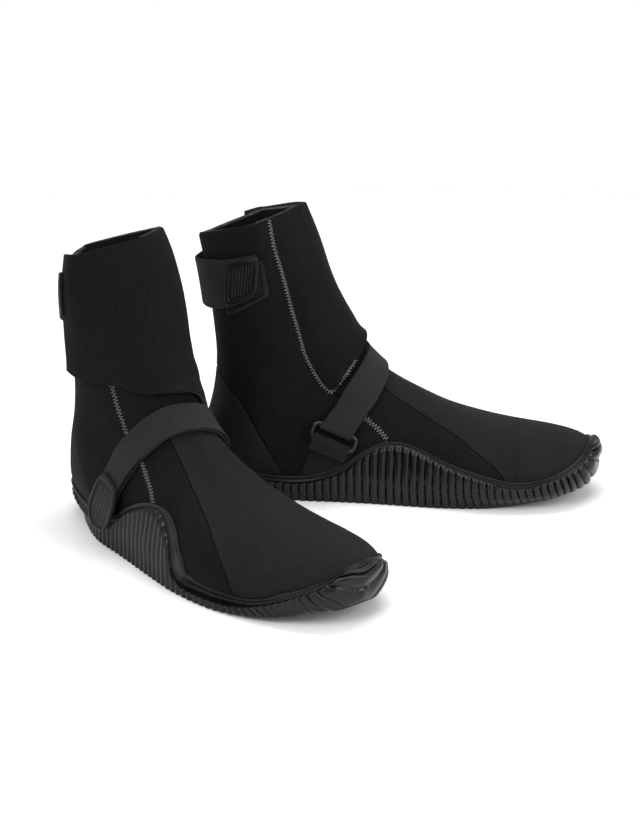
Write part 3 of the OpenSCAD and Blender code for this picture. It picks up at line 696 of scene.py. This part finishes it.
def footbed(side):
    thick = 3
    top = -SHELL - LINING - 2 * GAP - thick
    u, t = np.broadcast_arrays(rows((2.8, 11.15, 90)), 140 + 80 * frac(41))
    fall = 1.2 * (1 - np.clip(from_border(skin(u, t)) / 3, 0, 1)) ** 2
    # the face that the foot stands on is the one further in
    pc = Piece().slab(lift(u, t, top + thick), lift(u, t, top + fall))
    make("footbed", side, pc, FOOTBED_MAT)


def wall_column(j, sg):
    """The side wall's (station, angle) pairs at a fractional column; at the toe and the heel
    each side's table runs on into the other's."""
    out = np.zeros((len(j), 11))
    for sign, own, other in ((1, LATERAL_WALL, MEDIAL_WALL), (-1, MEDIAL_WALL, LATERAL_WALL)):
        n = len(own)
        first, last = other[1].copy(), other[n - 2].copy()
        first[[1, 3]] = 360 - first[[1, 3]]
        first[[5, 7, 9]] *= -1
        last[[1, 3, 5, 7, 9]] = 360 - last[[1, 3, 5, 7, 9]]
        ext = np.concatenate([[first], own, [last]])
        m = sg == sign
        i = np.clip(np.floor(j[m]).astype(int), 0, n - 2)
        out[m] = curve4(ext[i], ext[i + 1], ext[i + 2], ext[i + 3], (j[m] - i)[:, None])
    return out


def ring_path(count):
    """Positions round the sole at even spacing: column number and side."""
    n = len(MEDIAL_WALL) - 1
    fine = np.linspace(0, 2 * n, 6001)
    j, sg = np.where(fine > n, 2 * n - fine, fine), np.where(fine > n, -1, 1)
    c = wall_column(j, sg)
    s = path_length(skin(c[:, 4], sg * c[:, 5]))
    at = np.interp(np.arange(count) / count * s[-1], s, fine)
    return np.where(at > n, 2 * n - at, at), np.where(at > n, -1.0, 1.0)


def wall_level(c, sg, a):
    """One line of the wall and its normals; below the boot's widest line it stands upright."""
    u, t = c[:, a], sg * c[:, a + 1]
    p, n = skin(u, t), outward(u, t)
    k = np.clip(c[:, 10], 0, 1) * smooth((np.abs(c[:, a + 1]) - 90) / 12)
    full, side = skin(u, 96 * sg), outward(u, 96 * sg) * [1, 1, 0]
    q = p.copy()
    q[:, 1] += k * (full[:, 1] - p[:, 1])
    q[:, 2] += 3 * k * n[:, 2]
    return q, unit(n + k[:, None] * (side - n))


def wall_ledge(c, sg):
    """How far the wall's top stands out from the shell."""
    return wall_level(c, sg, 6)[0] - skin(c[:, 6], sg * c[:, 7])


def rib_columns():
    """The wall's levels and normals in fine columns, with each column's distance along the
    sole's plan outline and its direction, so that the ribs stand upright where the wall leans."""
    j, sg = ring_path(2400)
    c = wall_column(j, sg)
    levels, norms = zip(*[wall_level(c, sg, a) for a in (0, 2, 4, 6)])
    flat = levels[2] * [1, 1, 0]
    run = path_length(np.concatenate([flat, flat[:1]]))
    along = unit(np.roll(flat, -3, 0) - np.roll(flat, 3, 0))
    return j, sg, c, levels, norms, run[:-1], along, run[-1]


def rib_height(d, r, pitch):
    """Height of the ribs, 0 to 1, at a distance d from the tip and a height r up the wall.
    They lean more and more toward the tip, where they turn into ledges round it."""
    x = np.linspace(0, 500, 2001)
    count = np.concatenate([[0], np.cumsum(smooth((x - 4) / 42)[1:])]) * .25 / pitch
    round_tip = np.hypot(d, 11) - 11
    phase = np.interp(d, x, count) - (4 * np.exp(-round_tip / 42) + .1) * r
    t = phase - np.floor(phase)
    rib = np.abs(np.sin(np.pi * t)) ** .42
    tooth = (.2 + .8 * t) * smooth((1 - t) / .13) * smooth(t / .05)
    w = 1 - smooth((d - 35) / 60)
    roll = np.sin(np.pi * t) ** .5
    near = smooth((48 - d) / 26)
    return rib * (1 - w) + (tooth * (1 - near) + roll * near) * w


def outsole(side):
    k, nr = RIBS * 14, 46
    j, sg, c, levels, norms, s0, along, total = rib_columns()
    want = (np.arange(k) + .5) / k * total
    tip = np.minimum(want, total - want)
    toe = np.exp(-(tip / 55) ** 2)
    tread = table(ROCKER, levels[0][:, 0])
    ext = [2 * levels[0] - levels[1], *levels, 2 * levels[3] - levels[2]]
    upright = smooth((j - 1.5) / 1.6) * smooth((17.2 - j) / 1.2)
    grid = []
    for r in np.linspace(0, 1, nr):
        i = min(int(r * 3), 2)
        f = r * 3 - i
        p = curve4(*ext[i:i + 4], f)
        s = s0 + ((p - levels[2]) * along).sum(1) * upright
        s = np.maximum.accumulate(s + np.arange(len(s)) * 1e-6)
        s3 = np.concatenate([s - total, s, s + total])

        def at(a):
            a3 = np.concatenate([a, a, a])
            return np.stack([np.interp(want, s3, a3[:, m]) for m in range(a.shape[1])], -1)
        pr, nrm = at(p), unit(at(unit(norms[i] * (1 - f) + norms[i + 1] * f)))
        zr = at(tread[:, None])[:, 0]
        amp = (2.3 + .8 * toe) * smooth((1 - r) / .05 + .2)
        off = 1.95 - .2 * toe + amp * rib_height(tip, r, total / RIBS) - .5 * smooth((r - .9) / .1)
        g = smooth(1 - r / .34)
        low = pr + off[:, None] * nrm * [1, 1, 0]
        low[:, 2] = zr + .5 + (pr[:, 2] - zr) * min(1, r / .34)
        grid.append((pr + off[:, None] * nrm) * (1 - g) + low * g)
        if r == 0:
            mid = at(skin(c[:, 0], 180.0))
    back = at(wall_ledge(c, sg))
    mid[:, 2] = table(ROCKER, mid[:, 0])
    under = []
    for f in np.linspace(0, 1, 22)[:-1]:
        p = mid + (grid[0] - mid) * f
        fish = p[:, 0] + 3.2 * np.abs((p[:, 1] / 7) % 2 - 1)
        groove = smooth((np.abs((fish / 8) % 1 - .5) - .36) / .08)
        p[:, 2] = table(ROCKER, p[:, 0]) + 1.3 * groove * smooth((1 - f) / .12)
        under.append(p)
    # over the wall's top, down inside it and across the tread
    wall_in = [pr + 1.5 * nrm, pr - .6 * back + .6 * nrm]
    for f in (.25, .5, .75, 1):
        g = grid[max(0, min(nr - 1, round((1 - f) * (nr - 1))))]
        wall_in.append(g - 1.9 * unit(g - mid) + [0, 0, 1.2 * f])
    roof = mid + (wall_in[-1] - mid) * .5
    roof[:, 2] = np.maximum(mid[:, 2] + 2.6, 3)
    full = np.array([*under, *grid, *wall_in, roof, mid + [0, 0, 2.6]])
    rise = np.linalg.norm(np.diff(full, axis=0), axis=2).mean(1)
    uv = np.stack(np.broadcast_arrays((np.arange(k) / k * total)[None, :],
                                      np.cumsum(np.concatenate([[0], rise]))[:, None]), -1)
    pc = Piece().add(full, quads(full.shape[0], k, wrap=True), uv)
    weld(make("outsole", side, pc, SOLE, sharp=50), .00035)


def weld(ob, dist):
    """Draw the grid's open ends together and close what is left."""
    bm = bmesh.new()
    bm.from_mesh(ob.data)
    ends = [v for v in bm.verts if any(e.is_boundary for e in v.link_edges)]
    bmesh.ops.remove_doubles(bm, verts=ends, dist=dist)
    holes = [e for e in bm.edges if e.is_boundary]
    if holes:
        bmesh.ops.holes_fill(bm, edges=holes, sides=0)
    bm.to_mesh(ob.data)
    bm.free()


# The smooth band from its foot to its upper edge, as (fraction, height)
BAND_PROFILE = [(-.12, .4), (-.12, 1.5), (-.04, 1.7), (.08, 1.25), (.3, 1.05), (.52, 1.25),
                (.68, 1.75), (.84, 1.85), (.95, 1.5), (1.0, .9), (1.0, .15)]


def foxing(side):
    """The smooth band: a groove above the ribs, then a raised edge; where the sole stands out
    from the boot it is a hollow slope down to the ribs."""
    k = 900
    j, sg = ring_path(k)
    c = wall_column(j, sg)
    ledge = wall_ledge(c, sg)
    out = np.linalg.norm(ledge, axis=1)
    a = np.arange(k)
    wob = .18 * np.sin(a / k * 2 * np.pi * 37) + .12 * np.sin(a / k * 2 * np.pi * 83 + 1)
    ring = []
    for f, off in BAND_PROFILE:
        g = f + wob * .1 * f
        u = c[:, 6] + (c[:, 8] - c[:, 6]) * g
        t = sg * (c[:, 7] + (c[:, 9] - c[:, 7]) * g)
        p = skin(u, t)
        slope = np.clip(1 - f, 0, 1) ** 2.2
        if off > .5:
            rise = off + (sag(p) * .5 if off > 1 else 0) + .8 * slope * smooth(out / 5)
            ring.append(p + slope * ledge + rise[:, None] * outward(u, t))
        else:
            ring.append(p + .6 * slope * ledge + off * outward(u, t))
    n = len(ring)
    pc = Piece().add(np.array(ring), quads(n, k, wrap=True))
    b = (a + 1) % k
    pc.cover(np.stack([(n - 1) * k + a, (n - 1) * k + b, b, a], -1).tolist())
    make("foxing_band", side, pc, BAND, sharp=70)


def narrow(t, f):
    """The instep strap narrows toward its ring."""
    return .5 + (f - .5) * (1 - .14 * np.clip((-45 - t) / 15, 0, 1))


def strap_grid(ts, fs):
    t = ts[None, :]
    return np.broadcast_arrays(between(STRAP_RUN, t, narrow(t, fs[:, None])), t)


def ribbon(u, t, low, thick, bow=.25):
    """A woven strap with soft edges, its cross-section slightly bowed."""
    f = np.linspace(-1, 1, u.shape[0])[:, None]
    drop = thick * .42 * turn_down(1 - np.abs(f), .07)
    p, n = skin(u, t), outward(u, t)
    s = sag(p)
    outer = p + (low + thick + s - drop + bow * (1 - f * f))[..., None] * n
    inner = p + (low + s + drop + 0 * f)[..., None] * n
    return outer, inner


# The instep strap's layers over the shell, and where its base ends after the ring
BASE_LOW = .9
TAIL_LOW = BASE_LOW + WEB + GAP
END_LOW = TAIL_LOW + HOOK + GAP
FOLD_END = -51.5


def strap_point(t, f, off):
    u = between(STRAP_RUN, t, narrow(t, f))
    return skin(u, t) + off * outward(u, t)


# The ring's upper bar, its outward direction and the way down to its lower bar
BAR_A, BAR_B = strap_point(-73, .08, 5), strap_point(-70.5, 1.08, 5)
BAR = unit(BAR_B - BAR_A)
RING_OUT = outward(9.85, -76.0)
RING_OUT = unit(RING_OUT - (RING_OUT @ BAR) * BAR)
RING_DOWN = np.cross(RING_OUT, BAR)
RING_MID = (BAR_A + BAR_B) / 2
BAR_R = 1.9          # webbing's inner radius round a bar
RING_H = 11


def strap_base(side):
    """From its end under the flap round the instep, then back over the ring's upper bar."""
    fs = np.linspace(.03, .97, 41)
    fold = np.radians(np.linspace(165, 5, 15))[None, :, None]
    o1, i1 = ribbon(*strap_grid(np.linspace(98, -60, 150), fs), BASE_LOW, WEB)
    o2, i2 = ribbon(*strap_grid(np.linspace(-59, FOLD_END, 10), fs), TAIL_LOW, WEB)
    line = BAR_A + (BAR_B - BAR_A) * fs[:, None, None]
    way = np.cos(fold) * RING_OUT + np.sin(fold) * RING_DOWN
    # the layer under the ring runs out beneath the bar, its outside facing the boot
    outer = np.concatenate([i1, line + (BAR_R + WEB) * way, o2], 1)
    inner = np.concatenate([o1, line + BAR_R * way, i2], 1)
    make("instep_strap_base", side, Piece().slab(outer, inner), WEBBING, sharp=50)


def strap_tail(side):
    u, t = strap_grid(np.linspace(FOLD_END, 95, 170), np.linspace(.03, .97, 41))
    low = TAIL_LOW + (END_LOW - TAIL_LOW) * smooth((t - 46) / 16)
    outer, inner = ribbon(u, t, low, WEB)
    make("instep_strap_tail", side, Piece().slab(outer, inner), WEBBING, sharp=50,
         span=TAIL_FOLD)


def pad(side, name, grid, low, mat, body):
    """A fuzzy hook or loop pad."""
    base, n = skin(*grid), outward(*grid)
    d, s = from_border(base), sag(base)
    fall = .45 * (1 - smooth(d / 1.2))
    fuzz = .12 * np.sin(base[..., 0] * 5.1) * np.sin(base[..., 2] * 4.7 + base[..., 1] * 3.9)
    outer = base + (low + HOOK + s - fall + fuzz * (d > .8))[..., None] * n
    inner = base + (low + s)[..., None] * n
    make(name, side, Piece().slab(outer, inner), mat, body)


def round_square(n, radius):
    """A square grid drawn in so that its corners are round; returns x, y in -1..1 and the
    depth inside the outline."""
    a = np.linspace(-1, 1, n)
    x, y = np.meshgrid(a, a, indexing="xy")
    m = np.maximum(np.abs(x), np.abs(y))
    m = np.where(m == 0, 1, m)
    ex, ey = np.abs(x / m), np.abs(y / m)
    c = 1 - radius
    # shrink each ray by halves so that it ends on the rounded outline
    lo, hi = np.full(x.shape, .5), np.ones(x.shape)
    for _ in range(24):
        k = (lo + hi) / 2
        px, py = np.maximum(ex * k - c, 0), np.maximum(ey * k - c, 0)
        ins = (np.hypot(px, py) <= radius) | (px == 0) | (py == 0)
        lo, hi = np.where(ins, k, lo), np.where(ins, hi, k)
    return x * lo, y * lo, 1 - np.maximum(np.abs(x), np.abs(y))


def tab(side, name, at, low, width, body, ribs, rib_size, tilt=0):
    """A moulded pull tab: raised border round a sunk field with upright ribs."""
    x, y, depth = round_square(121, .3)
    u, t = at(x, y)
    base, n = skin(u, t), outward(u, t)
    low = low + sag(base) + tilt * ((y + 1) / 2) ** 2
    d = depth * width / 2
    rib = (np.cos(x / .72 * np.pi * ribs) * .5 + .5) ** .7
    h = (TAB_T * (1 - .65 * turn_down(d, 1)) - 1.25 * smooth((d - 3) / .8)
         + rib_size * rib * smooth((d - 4) / .8))
    outer = base + (low + h)[..., None] * n
    inner = base + low[..., None] * n
    make(name, side, Piece().slab(outer, inner), TAB, body, sharp=60)


def calf_low(t):
    """Height of the strap over the shell: over the flap's end, then the loop patch."""
    return (3 * GAP + 2 * HOOK + 2.8 * np.clip((136 - t) / 24, 0, 1)
            + 1.2 * np.maximum(0, np.sin(np.radians((t - 140) * 2.25))))


def calf_grid(t0, t1, lo, hi, nt=61, nf=61):
    t = np.linspace(t0, t1, nt)[None, :]
    return np.broadcast_arrays(between(CALF_EDGES, t, np.linspace(lo, hi, nf)[:, None]), t)


def calf_strap(side):
    u, t = calf_grid(103, 266, 0, 1, 180, 41)
    outer, inner = ribbon(u, t, calf_low(t), WEB, .15)
    make("calf_strap", side, Piece().slab(outer, inner), SMOOTH_WEB, sharp=50,
         span=CALF_FOLD)


def calf_tab_at(x, y):
    t = 250.2 + y * 3.3 + x * (16.2 + 1.2 * y)
    return between(CALF_EDGES, t, .5 + y * .46), t


# The instep tab is a kite: [down the tab, angle, middle station, half width]
KITE = [[-1, 75, 10.15, .34], [-.75, 79.5, 10.08, .42], [-.25, 91.5, 9.93, .46],
        [.2, 102, 9.86, .4], [1, 118, 9.8, .15]]


def instep_tab_at(x, y):
    turn = table(KITE, y, 1) + 2.2 * x * smooth((y + 1) / .8) - x
    return table(KITE, y, 2) + x * table(KITE, y, 3), turn


# A stitch along its length, as (fraction, share of its thickness)
STITCH = ((-.04, .35), (.08, .85), (.3, 1), (.5, 1), (.7, 1), (.92, .85), (1.04, .35))


def stitches(pc, path, normal, side_dir, half, pitch, thick=.24, ragged=0.0):
    """Add a zigzag of separate arched stitches along a line of points."""
    s = path_length(path)
    at = np.linspace(0, s[-1], 2 * int(s[-1] / pitch) + 1)
    p, nn, sd = (np.stack([np.interp(at, s, a[:, k]) for k in range(3)], -1)
                 for a in (path, normal, side_dir))
    w = half * (1 + ragged * np.random.default_rng(7).uniform(-1, 1, len(p)))
    p = p + sd * (w * np.where(np.arange(len(p)) % 2, 1, -1))[:, None]
    a = np.linspace(0, 2 * np.pi, 7)[:-1, None]
    for k in range(len(p) - 1):
        d, up = p[k + 1] - p[k], unit(nn[k])
        out = np.cross(unit(d), up)
        rings = []
        for f, r in STITCH:
            arch = math.sin(max(0, min(1, f)) * math.pi)
            c = p[k] + d * f + up * (thick * .9 * arch - .12)
            rings.append(c + thick * r * (np.cos(a) * out + np.sin(a) * up))
        m, first = len(rings), pc.n
        uv = np.stack(np.broadcast_arrays(np.arange(6)[None, :] * .3,
                                          np.linspace(0, np.linalg.norm(d), m)[:, None]), -1)
        pc.add(np.array(rings), quads(m, 6, wrap=True), uv)
        last = first + (m - 1) * 6
        pc.cover([[first, first + v, first + v + 1] for v in range(1, 5)]
                 + [[last + v + 1, last + v, last] for v in range(1, 5)])


def path_on(u, t, off):
    """A line that stands off the shell: its points, normals and sideways directions."""
    p, n = skin(u, t), outward(u, t)
    p = p + (off + sag(p))[:, None] * n
    return p, n, unit(np.cross(n, np.gradient(p, axis=0)))


def flap_stitching(side):
    """The zigzag that sews the flap down along its medial edge and turns along its corner."""
    u = np.linspace(17.96, 10.8, 700)
    pc = Piece()
    stitches(pc, *path_on(u, .2 - table(QUARTER_EDGE, u), .5), 2.0, 2.35, ragged=.12)
    t = np.linspace(-53.4, -27, 90)
    u = table(FLAP_FOOT, t) + .09
    edge = skin(table(FLAP_FOOT, -53.5), -53.5)
    rise = smooth(np.linalg.norm(skin(u, t) - edge, axis=1) / 15)
    stitches(pc, *path_on(u, t, flap_top(u, t, rise) - .1), 1.7, 2.3, ragged=.3)
    make("flap_seam_stitching", side, pc, THREAD, span=FLAP_FOLD)


def quarter_stitching(side):
    """The zigzag down both quarter seams, from under the flap to the sole."""
    pc = Piece()
    for way, start in ((1, 13.3), (-1, 10.3)):
        u = np.linspace(start, 8.55, 400)
        stitches(pc, *path_on(u, way * table(QUARTER_EDGE, u), .12), 2.0, 2.35, ragged=.15)
    make("quarter_seam_stitching", side, pc, THREAD)


def patch_stitching(side):
    """Dark zigzag round the loop patch's front edge."""
    pc = Piece()
    for t, f, half in ((np.full(160, 272.0), np.linspace(-.14, .76, 160), 1.6),
                       (np.linspace(236, 271, 120), -.12, 1.4)):
        line = path_on(between(CALF_EDGES, t, f), t, GAP + HOOK + .05)
        stitches(pc, *line, half, 2.2, .2)
    make("loop_patch_stitching", side, pc, DARK_THREAD, node="")


def strap_ring(side):
    """A rectangular ring of round rod with rounded corners."""
    corner, half, rod, sides = 3.5, 16.6, 1.6, 20
    x, y = half - corner, RING_H - corner
    b = np.linspace(0, 2 * np.pi, sides + 1)[:-1, None]
    g = []
    for cx, cy, start in ((x, y, 0), (-x, y, 90), (-x, corner, 180), (x, corner, 270)):
        for a in np.radians(np.linspace(start, start + 90, 9)):
            o = math.cos(a) * BAR + math.sin(a) * RING_DOWN
            c = RING_MID + cx * BAR + cy * RING_DOWN + corner * o
            g.append(c + rod * (np.cos(b) * o + np.sin(b) * RING_OUT))
    n = len(g) * sides
    pc = Piece().add(np.array(g), quads(len(g) + 1, sides, wrap=True) % n)
    make("strap_ring", side, pc, RING, sharp=80)


def keeper(side):
    """Webbing looped round the ring's lower bar, both layers running down to the sole."""
    half = 14
    ws = np.linspace(-half, half, 57)[:, None, None]
    thin = .55 * turn_down(half - np.abs(ws), 1)
    down = np.linspace(9.5, .5, 10)

    def face(r, sign):
        prof = [(r - .03 * y * y, y) for y in down]
        prof += [(r * math.cos(a), -r * math.sin(a)) for a in np.radians(np.linspace(0, 180, 19))]
        prof += [(-r + .02 * y * y, y) for y in down[::-1]]
        p = np.array(prof)
        out = p[:, :1] - sign * thin * np.copysign(1, p[:, :1])
        return RING_MID + RING_H * RING_DOWN + ws * BAR + out * RING_OUT + p[:, 1:] * RING_DOWN
    pc = Piece().slab(face(BAR_R + WEB, 1), face(BAR_R, -1))
    make("ring_keeper", side, pc, SMOOTH_WEB, sharp=55)


# The keeper's patch, as [section, front angle, back angle]
PATCH_EDGE = [[9.2, 97, 82], [9.42, 101, 82], [9.6, 107, 82], [9.8, 112, 82.3], [9.92, 112, 82.8],
              [10, 102, 83.3], [10.08, 93, 83.8], [10.17, 86.5, 84.5]]


def anchor_patch(side):
    u = rows((9.2, 10.17, 60))
    low, high = table(PATCH_EDGE, u), table(PATCH_EDGE, u, 2)
    t = -low + (low - high) * frac(51)
    make("keeper_anchor_patch", side, panel(u, t, .1, 1.3, .5, 1.2), TEXTURED)


def boot(side):
    vamp(side)
    side_panel(side, -1, "medial_side_panel")
    side_panel(side, 1, "lateral_side_panel")
    for build in (rear_quarter, heel_panel, gusset, flap, lining, footbed, outsole, foxing,
                  strap_base, strap_tail):
        build(side)
    pad(side, "instep_hook_pad", strap_grid(np.linspace(64, 92, 60), np.linspace(.1, .9, 50)),
        TAIL_LOW, HOOKS, "instep_tail")
    tab(side, "instep_strap_tab", instep_tab_at, END_LOW + WEB + .3, 32, "instep_tail", 6, .5,
        tilt=2.1)
    calf_strap(side)
    pad(side, "calf_hook_pad", calf_grid(238, 262, .14, .86), HOOK + 2 * GAP, HOOKS,
        "calf_strap")
    pad(side, "calf_loop_patch", calf_grid(226, 274, -.16, .8), GAP, LOOPS, "boot")
    tab(side, "calf_strap_tab", calf_tab_at, 3 * GAP + 2 * HOOK + WEB + .35, 30, "calf_strap",
        8, .8)
    for build in (flap_stitching, quarter_stitching, patch_stitching, strap_ring, keeper,
                  anchor_patch):
        build(side)
    under = frame["nodes"][side + "_underfoot_panel"]
    under.data.materials.clear()
    under.data.materials.append(NEOPRENE)


boot("left")
boot("right")


# ---------- floor, lights and camera
def surface(name, verts, faces, material):
    me = bpy.data.meshes.new(name)
    me.from_pydata(verts, [], faces)
    me.materials.append(material)
    return add_object(name, me)


def aim(ob, at, to):
    ob.location = at
    ob.rotation_euler = (Vector(to) - Vector(at)).to_track_quat("-Z", "Y").to_euler()


def area(name, at, to, size, power):
    d = bpy.data.lights.new(name, "AREA")
    d.shape, d.size, d.size_y, d.energy = "RECTANGLE", *size, power
    aim(add_object(name, d), at, to)


floor = surface("floor", [(-6, -6, 0), (6, -6, 0), (6, 6, 0), (-6, 6, 0)], [(0, 1, 2, 3)],
                Nodes("floor", (.9, .9, .9), .8, Specular_IOR_Level=.1).mat)

# A plain white sweep round the floor, as (radius, height), seen by the camera alone
SWEEP, SPOKES = [(.98, .001), (1.6, .02), (5.9, .4), (5.9, 9)], 96
spin = [2 * math.pi * i / SPOKES for i in range(SPOKES)]
backdrop = surface("backdrop", [(r * math.cos(a), r * math.sin(a), z) for r, z in SWEEP
                                for a in spin], quads(len(SWEEP), SPOKES, wrap=True).tolist(),
                   Nodes("backdrop", (0, 0, 0), 1, Specular_IOR_Level=0, Emission_Strength=1,
                         Emission_Color=(1, 1, 1, 1)).mat)
backdrop.visible_diffuse = backdrop.visible_glossy = backdrop.visible_shadow = False

world_light = bpy.data.worlds.new("studio")
bpy.context.scene.world = world_light
world_light.use_nodes = True
sky = world_light.node_tree.nodes["Background"].inputs
sky[0].default_value, sky[1].default_value = (1, 1, 1, 1), .62

area("key", (-.7, -1.2, 1.3), (0, 0, .08), (.9, .9), 17)
area("fill", (1.3, -.7, .8), (0, 0, .08), (.9, 1.1), 13)
area("top", (.1, .3, 1.5), (0, 0, .05), (1.2, .8), 16)

cam = bpy.data.cameras.new("camera")
cam.sensor_fit, cam.sensor_width, cam.lens = "HORIZONTAL", 36, 126
cam.clip_start, cam.clip_end = .1, 30
cam.shift_x, cam.shift_y = -.0308, -.0369
bpy.context.scene.camera = add_object("camera", cam)
aim(bpy.context.scene.camera, (.0463, -1.4674, .6341), (.0016, .0401, .1))
bpy.context.scene.view_settings.view_transform = "Standard"
